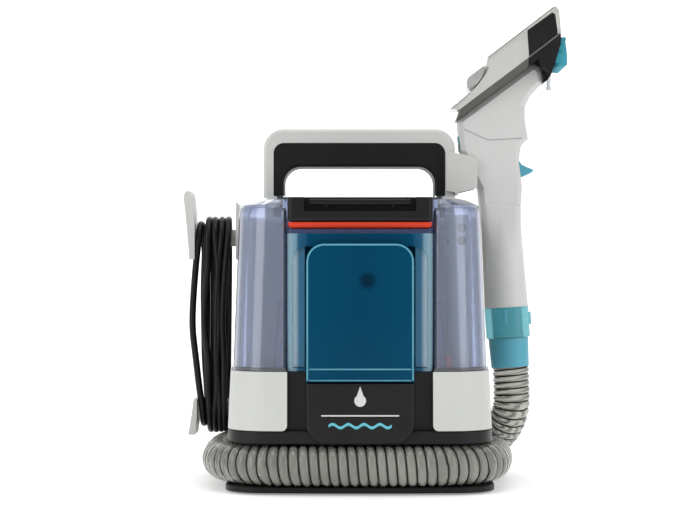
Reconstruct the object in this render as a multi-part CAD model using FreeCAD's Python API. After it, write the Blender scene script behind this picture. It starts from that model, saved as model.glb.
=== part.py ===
"""Spot extractor: a small carpet and upholstery washer with two lift-off tanks.

Millimetres, +Z up, front towards -Y. The origin is the centre of the foot, on the floor.
Each sub-part is one function's result and is written to parts/NODE.step.
"""

import FreeCAD, Part
import math
import os

from FreeCAD import Vector as V

# Driving dimensions
FLOOR_GAP = 1.5            # height of the rubber pads
TRAY_TOP = 7.0
NECK_TOP = 45.0            # the hose lies in the groove between the tray and this height
BAND_TOP = 57.0
DECK_TOP = 109.5           # the tanks stand on this deck
TANK_FOOT = 110.0
TANK_TOP = 253.5
ROOF_FOOT = 256.0
ROOF_TOP = 268.0
HOUSING_TOP = 250.0
HANDLE_TOP = 335.5

BODY_HALF = 120.0          # half width of the band and the side panels
NECK_HALF = 106.5
TANK_HALF = 115.5
BODY_FRONT = -106.0
BODY_BACK = 98.0
BOW = 6.0                  # how far the front face bulges
HOUSING_FRONT = 18.0
WALL = 2.5

CLEAN_HALF = 65.0          # half width of the clean-water tank
CLEAN_FRONT = -103.0
CLEAN_BACK = -42.0
CLEAN_TOP = 233.0
CLEAN_BULGE_HALF = 48.0
CLEAN_BULGE_FRONT = -114.0
LID_BASE = 243.0
LID_TOP = 265.5
HINGE_Y = -38.0
HINGE_Z = 262.0

HANDLE_FRONT = 28.0
HANDLE_BACK = 78.0

HOSE_R = 18.0
LEAD_R = 3.2
COIL_Y = 45.0              # middle plane of the two cord hooks
COIL_LEFT = -155.5
COIL_RIGHT = -120.6
SADDLE_R = 13.2            # the coil lies on half round saddles of this radius
SADDLE_TOP_Z = 225.8
SADDLE_LOW_Z = 71.0
COIL_THICK = 13.0

MOTOR_Y = 57.0
TOOL_Y = 48.0              # middle plane of the hand tool
TOOL_FOOT = V(146.6, TOOL_Y, 106.0)
TOOL_LEAN = -3.73          # degrees about Y, from upright
HEAD_ORIGIN = V(95.2, TOOL_Y, 344.3)
HEAD_LEAN = -36.66         # degrees about Y: the nozzle climbs to the right
CUFF_LENGTH = 28.0
COLLAR_LENGTH = 30.0
GRIP_TOP = 152.0
TRIGGER_PIVOT = V(149.0, TOOL_Y, 309.0)

X_AXIS = V(1, 0, 0)
Y_AXIS = V(0, 1, 0)
Z_AXIS = V(0, 0, 1)


# Shared shapes

def box(x0, x1, y0, y1, z0, z1):
    return Part.makeBox(x1 - x0, y1 - y0, z1 - z0, V(x0, y0, z0))


def rod(radius, start, direction, length):
    return Part.makeCylinder(radius, length, start, direction)


def edges_along(shape, axis, test=lambda p: True):
    """Straight edges of a shape that run along an axis, picked by the middle of each."""
    found = []
    for edge in shape.Edges:
        run = edge.valueAt(edge.LastParameter) - edge.valueAt(edge.FirstParameter)
        if run.Length < 0.999 * edge.Length:
            continue
        if abs(run.normalize().dot(axis)) < 0.999:
            continue
        if test(edge.CenterOfMass):
            found.append(edge)
    return found


def outline(half, front, back, z, r_front=40.0, r_back=50.0, bow=BOW):
    """Rounded plan outline at a height: a bowed front, straight sides and back."""
    corner_l = V(-half, front, z)
    corner_r = V(half, front, z)
    back_r = V(half, back, z)
    back_l = V(-half, back, z)
    if bow:
        front_edge = Part.Arc(corner_l, V(0, front - bow, z), corner_r).toShape()
    else:
        front_edge = Part.LineSegment(corner_l, corner_r).toShape()
    sides = [
        Part.LineSegment(corner_r, back_r).toShape(),
        Part.LineSegment(back_r, back_l).toShape(),
        Part.LineSegment(back_l, corner_l).toShape(),
    ]
    solid = Part.Face(Part.Wire([front_edge] + sides)).extrude(V(0, 0, 10))
    middle = (front + back) / 2
    solid = solid.makeFillet(r_front, edges_along(solid, Z_AXIS, lambda p: p.y < middle))
    solid = solid.makeFillet(r_back, edges_along(solid, Z_AXIS, lambda p: p.y > middle))
    for face in solid.Faces:
        if abs(face.CenterOfMass.z - z) < 1e-6:
            return face.OuterWire
    raise ValueError("the outline has no bottom face")


def slab(wire, height):
    return Part.Face(wire).extrude(V(0, 0, height))


def tapered(wire, height, scale):
    """A prism whose top outline is the bottom outline shrunk about the Z axis."""
    top = wire.copy()
    matrix = FreeCAD.Matrix()
    matrix.scale(scale, scale, 1.0)
    top = top.transformGeometry(matrix)
    top.translate(V(0, 0, height))
    return Part.makeLoft([wire, top], True, True)


def profile(points, y0, y1):
    """A polygon of (x, z) points, extruded from y0 to y1."""
    wire = Part.makePolygon([V(x, y0, z) for x, z in points + points[:1]])
    return Part.Face(wire).extrude(V(0, y1 - y0, 0))


def arch(half, top, foot, radius, y0, y1):
    """An upright block with two rounded top corners."""
    block = box(-half, half, y0, y1, foot, top)
    return block.makeFillet(radius, edges_along(block, Y_AXIS, lambda p: p.z > top - 1))


def ring_wire(centre, direction, radius):
    return Part.Wire(Part.makeCircle(radius, centre, direction))


def route(points):
    """Straight runs joined by tangent arcs; returns the wire and the arcs' radii."""
    edges = []
    radii = []
    last = points[0]
    for before, corner, after in zip(points, points[1:], points[2:]):
        into = (corner - before).normalize()
        out = (after - corner).normalize()
        half_turn = math.acos(max(-1.0, min(1.0, into.dot(out)))) / 2
        reach = 0.45 * min((corner - before).Length, (after - corner).Length)
        radii.append(reach / math.tan(half_turn))
        start = corner - into * reach
        end = corner + out * reach
        inward = (out - into).normalize()
        sagitta = radii[-1] / math.cos(half_turn) - radii[-1]
        edges.append(Part.LineSegment(last, start).toShape())
        edges.append(Part.Arc(start, corner + inward * sagitta, end).toShape())
        last = end
    edges.append(Part.LineSegment(last, points[-1]).toShape())
    return Part.Wire(edges), radii


def tube_along(name, points, radius):
    """A solid round tube along a route, with its radii printed."""
    wire, radii = route(points)
    section = ring_wire(points[0], points[1] - points[0], radius)
    solid = wire.makePipeShell([section], True, False)
    ideal = math.pi * radius ** 2 * wire.Length
    print(f"{name}: length {wire.Length:.1f}, radii {[round(r, 1) for r in radii]},"
          f" volume {solid.Volume / ideal:.4f} of section x length")
    return solid


def in_tool(shape):
    """From the tool's own upright frame to its leaning place in the cradle."""
    shape.rotate(V(0, 0, 0), Y_AXIS, TOOL_LEAN)
    shape.translate(TOOL_FOOT)
    return shape


def in_head(shape):
    """From the nozzle's level frame to its climbing place on the tool."""
    shape.rotate(V(0, 0, 0), Y_AXIS, HEAD_LEAN)
    shape.translate(HEAD_ORIGIN)
    return shape


# Base and housing

def base_tray():
    tray = slab(outline(122, -104, 98, FLOOR_GAP, r_front=36), TRAY_TOP - FLOOR_GAP)
    rim = [e for e in tray.Edges if abs(e.CenterOfMass.z - TRAY_TOP) < 1e-3]
    return tray.makeFillet(1.5, rim)


def foot_pads():
    pads = [rod(9, V(sx * 88, y, 0), Z_AXIS, FLOOR_GAP) for sx in (-1, 1) for y in (-72, 66)]
    pads.append(box(-30, 30, -15, 15, 0, FLOOR_GAP))
    return Part.makeCompound(pads)


def base_neck():
    return slab(outline(NECK_HALF, -84, 86, TRAY_TOP, r_front=44, r_back=54, bow=0), NECK_TOP - TRAY_TOP)


def base_band():
    band = slab(outline(BODY_HALF, BODY_FRONT, BODY_BACK, NECK_TOP), BAND_TOP - NECK_TOP)
    rims = [e for e in band.Edges if min(abs(e.CenterOfMass.z - z) for z in (NECK_TOP, BAND_TOP)) < 1e-3]
    return band.makeFillet(2, rims)


def lower_chassis():
    outer = slab(outline(113, -98, 93, BAND_TOP), DECK_TOP - 5.5 - BAND_TOP)
    inner = slab(outline(109, -94, 89, BAND_TOP + 3, r_front=36, r_back=46), 60)
    return outer.cut(inner)


def tank_deck():
    deck = slab(outline(113, -98, 93, DECK_TOP - 5.5), 5.5)
    deck = deck.cut(rod(9, V(0, -70, 100), Z_AXIS, 20))
    return deck.cut(rod(4.2, V(0, MOTOR_Y, 100), Z_AXIS, 20))


def side_panels():
    """The two light panels that wrap from the front pillars to the back."""
    outer = tapered(outline(BODY_HALF, BODY_FRONT, BODY_BACK, BAND_TOP), DECK_TOP - BAND_TOP, 0.98)
    hollow = outline(BODY_HALF - 3.5, BODY_FRONT + 3.5, BODY_BACK - 3, BAND_TOP, r_front=37, r_back=47)
    inner = tapered(hollow, DECK_TOP - BAND_TOP, 0.98)
    shell = outer.cut(inner)
    made = {}
    for side, name in ((-1, "side_panel_left"), (1, "side_panel_right")):
        span = sorted((side * 65.0, side * 130.0))
        panel = shell.common(box(span[0], span[1], -130, 96.5, 50, 120))
        corner = edges_along(panel, Y_AXIS, lambda p: abs(p.x) < 66 and p.z < BAND_TOP + 1 and p.y < 0)
        made[name] = panel.makeFillet(5, corner) if corner else panel
    return made


def front_apron(band, chassis):
    shield = box(-48, 48, -117, -98, 45.5, 99.4)
    shield = shield.makeFillet(18, edges_along(shield, Y_AXIS, lambda p: p.z < 50))
    shield = shield.makeFillet(3, edges_along(shield, Z_AXIS, lambda p: p.y < -110))
    return shield.cut(band).cut(chassis)


def rear_housing():
    height = HOUSING_TOP - DECK_TOP
    outer = slab(outline(112, HOUSING_FRONT, 96, DECK_TOP, r_front=12, r_back=30, bow=0), height)
    top_rim = [e for e in outer.Edges if abs(e.CenterOfMass.z - HOUSING_TOP) < 1e-3]
    outer = outer.makeFillet(6, top_rim)
    inner = slab(outline(109, HOUSING_FRONT + 3, 93, DECK_TOP, r_front=9, r_back=27, bow=0), height - 4)
    shell = outer.cut(inner)
    shell = shell.cut(box(-60, 60, 90, 100, 150, 210))
    shell = shell.cut(rod(11.2, V(0, HOUSING_FRONT - 1, 226), Y_AXIS, 6))
    return shell.cut(rod(12.3, V(0, MOTOR_Y, HOUSING_TOP - 6), Z_AXIS, 10))


def rear_grille():
    plate = box(-60, 60, 92, 95, 150, 210)
    slots = [box(-52, 52, 91, 96, z, z + 3) for z in range(156, 204, 7)]
    return plate.cut(Part.makeCompound(slots))


def power_button():
    knob = rod(12, V(0, MOTOR_Y, HOUSING_TOP - 3.0), Z_AXIS, 8.5)
    return knob.makeFillet(1.2, [e for e in knob.Edges if e.CenterOfMass.z > HOUSING_TOP + 5 and e.Closed])


def handle_shell():
    outer = arch(92, HANDLE_TOP, HOUSING_TOP, 19, HANDLE_FRONT, HANDLE_BACK)
    faces = (HANDLE_FRONT, HANDLE_BACK)
    rim = [e for e in outer.Edges
           if min(abs(e.CenterOfMass.y - y) for y in faces) < 1e-3 and e.CenterOfMass.z > HOUSING_TOP + 1]
    outer = outer.makeFillet(4, rim)
    return outer.cut(arch(82.5, 322, HOUSING_TOP - 1, 10, HANDLE_FRONT - 1, HANDLE_BACK + 1))


def handle_liner():
    outer = arch(82.5, 322, HOUSING_TOP, 10, HANDLE_FRONT + 1, HANDLE_BACK - 1)
    liner = outer.cut(arch(72.5, 299, HOUSING_TOP - 1, 16, HANDLE_FRONT, HANDLE_BACK))
    grip = [e for e in liner.Edges
            if e.CenterOfMass.z > HOUSING_TOP + 1 and abs(e.CenterOfMass.x) < 73
            and e.CenterOfMass.z < 300 and min(abs(e.CenterOfMass.y - y) for y in (29, 77)) < 1e-3]
    return liner.makeFillet(3, grip)


def tool_holder():
    """An open cradle on the right leg of the handle; the tool's grip drops in from the right."""
    wall = box(92, 95, 23, 73.5, 272, 311)
    lip = [(105, 309.8), (113.2, 306), (113.2, 278.6), (93, 273.8)]
    front = profile([(83, 313.7)] + lip + [(83, 276)], 23, 27.6)
    back = profile([(92, 312)] + lip, 69, 73.5)
    return wall.fuse(front).fuse(back).removeSplitter()


# Cord hooks, lead and plug

def saddle(z, up):
    """Half round arm that the lead's loops lie over."""
    arm = rod(SADDLE_R, V(-158, COIL_Y, z), X_AXIS, 39.5)
    z0, z1 = (z - 3, z + 20) if up else (z - 20, z + 3)
    return arm.common(box(-170, -110, 20, 70, z0, z1))


def cord_hook_upper():
    arm = saddle(SADDLE_TOP_Z, True)
    plate_side = [(-118.6, 210), (-115.2, 210), (-112, 215), (-112, 243), (-115.2, 262), (-118.6, 265)]
    paddle_side = [
        (-158, 210), (-163, 210), (-165.4, 240), (-168.4, 268), (-168, 273), (-165.5, 276),
        (-162, 275), (-160.4, 270), (-158, 240),
    ]
    plate = profile(plate_side, 25, 65)
    paddle = profile(paddle_side, 22, 68)
    return plate.fuse(arm).fuse(paddle).removeSplitter()


def cord_hook_lower(panel, band):
    arm = saddle(SADDLE_LOW_Z, False)
    plate = profile([(-118.6, 60), (-114, 62), (-114, 90), (-118.6, 88)], 25, 65)
    paddle_side = [(-157.5, 42), (-164, 42), (-161, 60), (-158.8, 76), (-155.8, 76), (-155.8, 58)]
    paddle = profile(paddle_side, 22, 68)
    hook = plate.fuse(arm).fuse(paddle).removeSplitter()
    return hook.cut(panel).cut(band).Solids


def racetrack(radius, x0, x1):
    """An upright stadium about the two saddles, extruded across the coil."""
    low = rod(radius, V(x0, COIL_Y, SADDLE_LOW_Z), X_AXIS, x1 - x0)
    high = rod(radius, V(x0, COIL_Y, SADDLE_TOP_Z), X_AXIS, x1 - x0)
    middle = box(x0, x1, COIL_Y - radius, COIL_Y + radius, SADDLE_LOW_Z, SADDLE_TOP_Z)
    return low.fuse([high, middle]).removeSplitter()


def lead_coil():
    outer = racetrack(SADDLE_R + 0.1 + COIL_THICK, COIL_LEFT, COIL_RIGHT)
    return outer.cut(racetrack(SADDLE_R + 0.1, COIL_LEFT - 1, COIL_RIGHT + 1))


GLAND_MOUTH = V(-136, 76, 51.4)
GLAND_TAPER = 26.0
LEAD_START = [
    GLAND_MOUTH,
    V(-144, 76, 51.4),
    V(-151, 70.5, 52),
    V(-152, 61, 51.2),
    V(-151, 52, 48.5),
]
PLUG_X = -140.0
PLUG_Y = 94.0
PLUG_MOUTH = V(PLUG_X, PLUG_Y, 108)
LEAD_END = [
    V(-144, 67, 170),
    V(-144, 68.5, 158),
    V(-143.5, 73, 147),
    V(-142.5, 80.5, 137.5),
    V(-140.8, 89, 129),
    V(PLUG_X, PLUG_Y, 119),
    PLUG_MOUTH,
]


def cord_gland(band):
    root = GLAND_MOUTH + V(GLAND_TAPER, 0, 0)
    barrel = rod(5.3, root + V(6, 0, 0), V(-1, 0, 0), 7.5)
    sleeve = Part.makeCone(5.2, 4.0, GLAND_TAPER, root, V(-1, 0, 0))
    pieces = barrel.fuse(sleeve).cut(band).Solids
    return min(pieces, key=lambda solid: solid.BoundBox.XMin)


def plug_body():
    body = box(PLUG_X - 12, PLUG_X + 12, PLUG_Y - 8, PLUG_Y + 8, 58, 94)
    body = body.makeFillet(5, edges_along(body, Z_AXIS))
    relief = Part.makeCone(6.5, 4.4, 14, V(PLUG_X, PLUG_Y, 94), Z_AXIS)
    return body.fuse(relief)


def plug_pins():
    return Part.makeCompound([rod(2.4, V(PLUG_X + x, PLUG_Y, 58), V(0, 0, -1), 12) for x in (-7, 7)])


# Suction hose: from the port on the right, once round the base, then up into the tool

HOSE_MOUTH = V(125.2, -2, 25.5)
RISER_FOOT = V(148, TOOL_Y, 78)
HOSE_ROUTE = [
    HOSE_MOUTH,
    V(125.2, -66, 25.5),
    V(88.5, -103, 25.5),
    V(0, -106.5, 25.5),
    V(-88.5, -103, 25.5),
    V(-126.5, -64, 25.5),
    V(-130.0, 0, 25.5),
    V(-126.5, 60, 25.5),
    V(-90, 99, 26),
    V(-28, 109, 26.5),
    V(38, 110, 27.5),
    V(83, 106.5, 29),
    V(109, 97, 30.5),
    V(122.5, 85, 32),
    V(130, 74.5, 34.5),
    V(136.5, 65, 40),
    V(142, 57, 48.5),
    V(146, 51, 59),
    V(148, TOOL_Y, 70),
    RISER_FOOT,
]


def hose_elbow():
    mouth = rod(17.5, HOSE_MOUTH, Y_AXIS, 26)
    neck = box(106.5, 125.2, 2, 24, 9, 42)
    cap = Part.makeSphere(17.5, V(125.2, 24, 25.5))
    return mouth.fuse(cap).fuse(neck).removeSplitter()


def hose_riser():
    riser = rod(16.8, RISER_FOOT, Z_AXIS, 34)
    above = in_tool(box(-60, 60, -60, 60, 0, 60))
    return riser.cut(above)


# Motor, fan and pump

def motor_can():
    can = rod(27, V(0, MOTOR_Y, 128), Z_AXIS, 60)
    return can.cut(rod(3.6, V(0, MOTOR_Y, 120), Z_AXIS, 80))


def fan_housing():
    drum = rod(34, V(0, MOTOR_Y, 188), Z_AXIS, 27)
    cavity = rod(31, V(0, MOTOR_Y, 191), Z_AXIS, 21)
    shaft_hole = rod(3.6, V(0, MOTOR_Y, 187), Z_AXIS, 5)
    inlet = rod(11, V(0, MOTOR_Y, 211), Z_AXIS, 5)
    return drum.cut(cavity).cut(shaft_hole).cut(inlet)


def motor_shaft():
    return rod(3.5, V(0, MOTOR_Y, 122), Z_AXIS, 72)


def fan_impeller():
    hub = rod(8, V(0, MOTOR_Y, 194), Z_AXIS, 14)
    disc = rod(28, V(0, MOTOR_Y, 194), Z_AXIS, 2.5)
    wheel = hub.fuse(disc)
    for k in range(9):
        blade = box(7, 27.5, MOTOR_Y - 0.8, MOTOR_Y + 0.8, 196, 206)
        blade.rotate(V(0, MOTOR_Y, 0), Z_AXIS, 40 * k)
        wheel = wheel.fuse(blade)
    return wheel.removeSplitter()


def suction_duct():
    outer = rod(11, V(0, MOTOR_Y, 215), Z_AXIS, 11)
    outer = outer.fuse(Part.makeSphere(11, V(0, MOTOR_Y, 226)))
    outer = outer.fuse(rod(11, V(0, MOTOR_Y, 226), V(0, -1, 0), MOTOR_Y - HOUSING_FRONT))
    inner = rod(9, V(0, MOTOR_Y, 214), Z_AXIS, 12)
    inner = inner.fuse(Part.makeSphere(9, V(0, MOTOR_Y, 226)))
    inner = inner.fuse(rod(9, V(0, MOTOR_Y, 226), V(0, -1, 0), 60))
    return outer.cut(inner)


def pump_body():
    body = box(-85, -35, 5, 39, 60, 92)
    body = body.makeFillet(4, edges_along(body, Z_AXIS))
    return body.fuse(rod(12, V(-35, 22, 76), X_AXIS, 18))


def solution_line():
    return rod(3, V(-17, 22, 76), X_AXIS, 107)


def circuit_board():
    board = box(20, 80, 50, 52, 62, 98)
    chips = [box(26 + 18 * k, 36 + 18 * k, 46, 50, 68, 84) for k in range(3)]
    return board.fuse(chips)


# Recovery tank: two lobes in front, joined behind the clean-water tank

def tank_notch(half, back, z0, z1):
    return box(-half, half, -130, back, z0, z1)


def recovery_tank():
    foot = outline(TANK_HALF, -100, 14, TANK_FOOT, r_front=40, r_back=12, bow=5)
    outer = tapered(foot, TANK_TOP - TANK_FOOT, 0.953).cut(tank_notch(66.2, -30.5, 100, 270))
    noses = edges_along(outer, Z_AXIS, lambda p: abs(abs(p.x) - 66.2) < 1 and p.y < -80)
    outer = outer.makeFillet(6, noses)
    flange = slab(outline(TANK_HALF + 1.2, -101, 14, TANK_FOOT, r_front=41, r_back=12, bow=5), 2.6)
    outer = outer.fuse(flange.cut(tank_notch(66.2, -30.5, 100, 270)))
    half = TANK_HALF - WALL
    hollow = outline(half, -100 + WALL, 14 - WALL, TANK_FOOT + 3, r_front=37.5, r_back=9.5, bow=5)
    inner = tapered(hollow, 160, 0.947).cut(tank_notch(66.2 + WALL, -30.5 + WALL, 100, 290))
    return outer.cut(inner)


def stacked(levels):
    """A straight-walled stack between plan outlines at several heights."""
    wires = []
    for half, front, back, z, r_front in levels:
        wires.append(outline(half, front, back, z, r_front=r_front, r_back=12, bow=5))
    return Part.makeLoft(wires, True, True)


def recovery_roof():
    outer = stacked([
        (110.0, -95.3, 13.3, ROOF_FOOT, 38),
        (108.2, -93.5, 12.5, ROOF_FOOT + 3, 37),
        (98.0, -84.0, 8.0, ROOF_FOOT + 8, 33),
        (80.0, -70.0, 0.0, ROOF_TOP, 28),
    ])
    inner = stacked([
        (107.5, -92.8, 10.8, ROOF_FOOT - 1, 36),
        (105.8, -91.1, 10.2, ROOF_FOOT + 2, 35),
        (96.0, -82.0, 6.0, ROOF_FOOT + 5.8, 31),
        (78.0, -68.0, -2.0, ROOF_TOP - 2.2, 26),
    ])
    outer = outer.cut(tank_notch(69.4, -27.5, 250, 280))
    return outer.cut(inner.cut(tank_notch(69.4 + WALL, -27.5 + WALL, 250, 280)))


def roof_gasket():
    outer = slab(outline(109.6, -94.6, 13.0, TANK_TOP, r_front=38, r_back=12, bow=5), ROOF_FOOT - TANK_TOP)
    inner = slab(outline(106, -91, 9.4, TANK_TOP - 1, r_front=34, r_back=9, bow=5), 6)
    outer = outer.cut(tank_notch(66.6, -30.1, 250, 260))
    return outer.cut(inner.cut(tank_notch(70, -26.7, 240, 270)))


STANDPIPE = V(90, -38, TANK_FOOT + 3)


def standpipe():
    pipe = rod(8, STANDPIPE, Z_AXIS, 92)
    sleeve = rod(9.5, STANDPIPE + V(0, 0, 92), Z_AXIS, 8)
    return pipe.fuse(sleeve).cut(rod(6.2, STANDPIPE - V(0, 0, 1), Z_AXIS, 110))


def float_cage():
    foot = STANDPIPE + V(0, 0, 100)
    cage = rod(11.5, foot, Z_AXIS, 38).cut(rod(9.6, foot + V(0, 0, 1.5), Z_AXIS, 35))
    cage = cage.cut(rod(6.2, foot - V(0, 0, 1), Z_AXIS, 5))
    for k in range(4):
        turn = k * math.pi / 2 + 0.4
        window = rod(4.5, foot + V(0, 0, 14), V(math.cos(turn), math.sin(turn), 0), 20)
        taller = window.copy()
        taller.translate(V(0, 0, 12))
        cage = cage.cut(window).cut(taller)
    return cage


def float_ball():
    ball = rod(8.8, STANDPIPE + V(0, 0, 102.5), Z_AXIS, 17)
    return ball.makeFillet(3, [e for e in ball.Edges if e.Closed])


def inlet_valve():
    return Part.makeCone(5.5, 4, 9, V(79, -62, TANK_FOOT + 3), Z_AXIS)


# Clean-water tank, its collar and lid

def solution_tank():
    body = box(-CLEAN_HALF, CLEAN_HALF, CLEAN_FRONT, CLEAN_BACK, TANK_FOOT, CLEAN_TOP)
    body = body.makeFillet(5, edges_along(body, Z_AXIS))
    half = CLEAN_BULGE_HALF
    bulge = box(-half, half, CLEAN_BULGE_FRONT, CLEAN_FRONT + 8, 100.2, 224)
    under = box(-half, half, CLEAN_FRONT - 2.5, CLEAN_FRONT + 9, 99, TANK_FOOT)
    bulge = bulge.makeFillet(16, edges_along(bulge, Y_AXIS, lambda p: p.z > 220))
    rim = [e for e in bulge.Edges if abs(e.CenterOfMass.y - CLEAN_BULGE_FRONT) < 1e-3]
    bulge = bulge.makeFillet(3, rim).cut(under)
    half = CLEAN_HALF - WALL
    inner = box(-half, half, CLEAN_FRONT + WALL, CLEAN_BACK - WALL, TANK_FOOT + 3, 240)
    pocket = box(-half + WALL, half - WALL, CLEAN_BULGE_FRONT + WALL, CLEAN_FRONT + 8, 104, 224 - WALL)
    pocket = pocket.makeFillet(14, edges_along(pocket, Y_AXIS, lambda p: p.z > 215))
    pocket = pocket.cut(box(-60, 60, CLEAN_FRONT - 5, -60, 90, TANK_FOOT + 3))
    return body.fuse(bulge).cut(inner.fuse(pocket)).removeSplitter()


def tank_collar():
    ring = box(-CLEAN_HALF, CLEAN_HALF, CLEAN_FRONT, CLEAN_BACK, CLEAN_TOP, 237)
    ring = ring.makeFillet(5, edges_along(ring, Z_AXIS))
    ring = ring.cut(box(-52, 52, -92, -53, 230, 240))
    for side in (-1, 1):
        span = sorted((side * 30.5, side * 36))
        lug = box(span[0], span[1], CLEAN_BACK - 1, -34, CLEAN_TOP, HINGE_Z + 4)
        ring = ring.fuse(lug)
    return ring.cut(rod(2.0, V(-40, HINGE_Y, HINGE_Z), X_AXIS, 80)).removeSplitter()


def tank_valve():
    return rod(7, V(0, -70, 105), Z_AXIS, 5)


def hinge_pin():
    return rod(2.0, V(-36, HINGE_Y, HINGE_Z), X_AXIS, 72)


def solution_lid():
    lid = box(-CLEAN_HALF, CLEAN_HALF, CLEAN_FRONT - 1, CLEAN_BACK - 1, LID_BASE, LID_TOP)
    lid = lid.makeFillet(5, edges_along(lid, Z_AXIS))
    lid = lid.makeFillet(4, edges_along(lid, Y_AXIS, lambda p: p.z < LID_BASE + 1))
    lid = lid.cut(box(-50, 50, CLEAN_FRONT - 3, -84, 253, LID_TOP + 1))
    for side in (-1, 1):
        span = sorted((side * 29.5, side * 37))
        lid = lid.cut(box(span[0], span[1], CLEAN_BACK - 9, CLEAN_BACK + 1, LID_BASE - 1, LID_TOP + 1))
    knuckle = rod(4.2, V(-28.5, HINGE_Y, HINGE_Z), X_AXIS, 57)
    web = box(-28.5, 28.5, CLEAN_BACK - 2, HINGE_Y, HINGE_Z - 3.5, HINGE_Z + 3.5)
    lid = lid.fuse(knuckle.fuse(web)).cut(rod(2.08, V(-40, HINGE_Y, HINGE_Z), X_AXIS, 80))
    return lid.removeSplitter()


def lid_gasket():
    ring = box(-64.5, 64.5, -103.6, -54, 237.4, LID_BASE)
    ring = ring.makeFillet(5, edges_along(ring, Z_AXIS))
    ring = ring.makeFillet(4.5, edges_along(ring, Y_AXIS, lambda p: p.z < LID_BASE - 1))
    return ring.cut(box(-54, 54, -94, -61, 230, 250))


def lid_latch():
    bar = box(-45, 45, -101.5, -87, 258.5, 263.7)
    bar = bar.makeFillet(1.5, edges_along(bar, X_AXIS))
    stems = [rod(2, V(x, -94, 256.6), Z_AXIS, 3) for x in (-30, 30)]
    return bar.fuse(stems)


# Hand tool

TOOL_OUTLINE = [
    (117.0, 258), (115.4, 277.4), (97.7, 314.6), (96.4, 328), (95.2, 344.3),
    (165.2, 396.4), (168.8, 396.6), (172.0, 395.2), (174.6, 391.4), (175.8, 386), (176.2, 379.4),
    (170, 373.2), (164, 366.5), (159.6, 357),
    (159.6, 344.5), (162.7, 325.7), (155.9, 319.5), (153.6, 304), (157, 280), (155.5, 258),
]
TOOL_HALF = 19.0
TOOL_ROUND = 4.5           # how far the outer faces of the grip are drawn in


def tool_shell():
    """The two moulded halves of the grip, split on the tool's middle plane."""
    flank = TOOL_Y - TOOL_HALF + TOOL_ROUND
    points = [V(x, flank, z) for x, z in TOOL_OUTLINE]
    full = Part.makePolygon(points + points[:1])
    drawn_in = Part.Face(full).makeOffset2D(-TOOL_ROUND, 2).OuterWire
    drawn_in.translate(V(0, -TOOL_ROUND, 0))
    bevel = Part.makeLoft([full, drawn_in], True, True)
    middle = profile(TOOL_OUTLINE, flank, 2 * TOOL_Y - flank)
    mirrored = bevel.mirror(V(0, TOOL_Y, 0), Y_AXIS)
    upper = middle.fuse([bevel, mirrored])
    grip = in_tool(Part.makeCone(21.2, 18.9, GRIP_TOP - 58 + 3, V(0, 0, 58), Z_AXIS))
    lug = box(97, 112, TOOL_Y, TOOL_Y + 25, 316, 330)
    pocket = box(139, 170, TOOL_Y - 8.4, TOOL_Y + 8.4, 284, 313)
    bore = in_tool(rod(13, V(0, 0, 50), Z_AXIS, 130))
    whole = upper.fuse(grip).fuse(lug).cut(pocket).cut(bore).cut(trigger_pin())
    front = whole.common(box(80, 200, 0, TOOL_Y, 100, 420))
    back = whole.common(box(80, 200, TOOL_Y, 100, 100, 420))
    return {"tool_shell_front": front, "tool_shell_back": back}


def trigger():
    points = [
        (144, 310), (152.6, 311.5), (153.9, 306.4), (157.4, 301.6), (163, 299), (167.6, 297.4),
        (168.3, 295.6), (166.4, 293.8), (156, 289), (144, 287.5),
    ]
    body = profile(points, TOOL_Y - 8, TOOL_Y + 8)
    return body.cut(rod(1.6, TRIGGER_PIVOT - V(0, 10, 0), Y_AXIS, 20))


def trigger_pin():
    return rod(1.5, TRIGGER_PIVOT - V(0, 12, 0), Y_AXIS, 24)


def tool_collar():
    collar = rod(21.4, V(0, 0, CUFF_LENGTH + 0.4), Z_AXIS, COLLAR_LENGTH - 0.6)
    tab = box(19, 22.8, -6, 6, CUFF_LENGTH + 12, CUFF_LENGTH + 24)
    return in_tool(collar.fuse(tab).cut(rod(14, V(0, 0, 20), Z_AXIS, 50)))


def hose_cuff():
    cuff = Part.makeCone(18.3, 19.4, CUFF_LENGTH)
    return in_tool(cuff.cut(rod(14, V(0, 0, 4), Z_AXIS, 40)))


def plan_wedge(points, n0=-40, n1=60):
    """A plan outline of (t, half width) pairs in the nozzle frame, extruded through its height."""
    right = [V(t, half, n0) for t, half in points]
    left = [V(t, -half, n0) for t, half in reversed(points)]
    wire = Part.makePolygon(right + left + right[:1])
    return Part.Face(wire).extrude(V(0, 0, n1 - n0))


# Plan outlines of the nozzle as (t, half width): it widens towards the mouth
NOZZLE_PLAN = [(-4, 20.5), (24, 25), (60, 30), (107, 38.5), (140, 44)]
CHIN_PLAN = [(80, 19.2), (93.4, 19.2), (94.4, 36.4), (107, 38.5), (140, 44)]


def head_profile(points, plan=NOZZLE_PLAN):
    return profile(points, -60, 60).common(plan_wedge(plan))


def mouth():
    """The slot that draws in dirty water, open to the right."""
    return profile([(112, 12), (114, 24.5), (142, 24.5), (136, 12)], -36, 36)


def tool_band():
    return in_head(head_profile([(-2.4, 0.3), (82.4, 0.3), (87.6, 6.8), (7.4, 6.8)]))


def nozzle_window():
    side = [
        (-0.2, 12.9), (23.8, 14.0), (29.3, 14.2), (34, 15.0), (46, 18.8), (52.2, 22.0), (52.8, 26.6),
        (57.4, 30.9), (134.6, 31.3), (136.6, 30), (136.6, 25.4), (125.8, 7.6), (122.2, 7.6),
        (131.6, 24.6), (130.4, 28.0), (101.7, 28.6), (88.2, 7.1), (6.6, 7.1),
    ]
    return in_head(head_profile(side).cut(mouth()))


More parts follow.
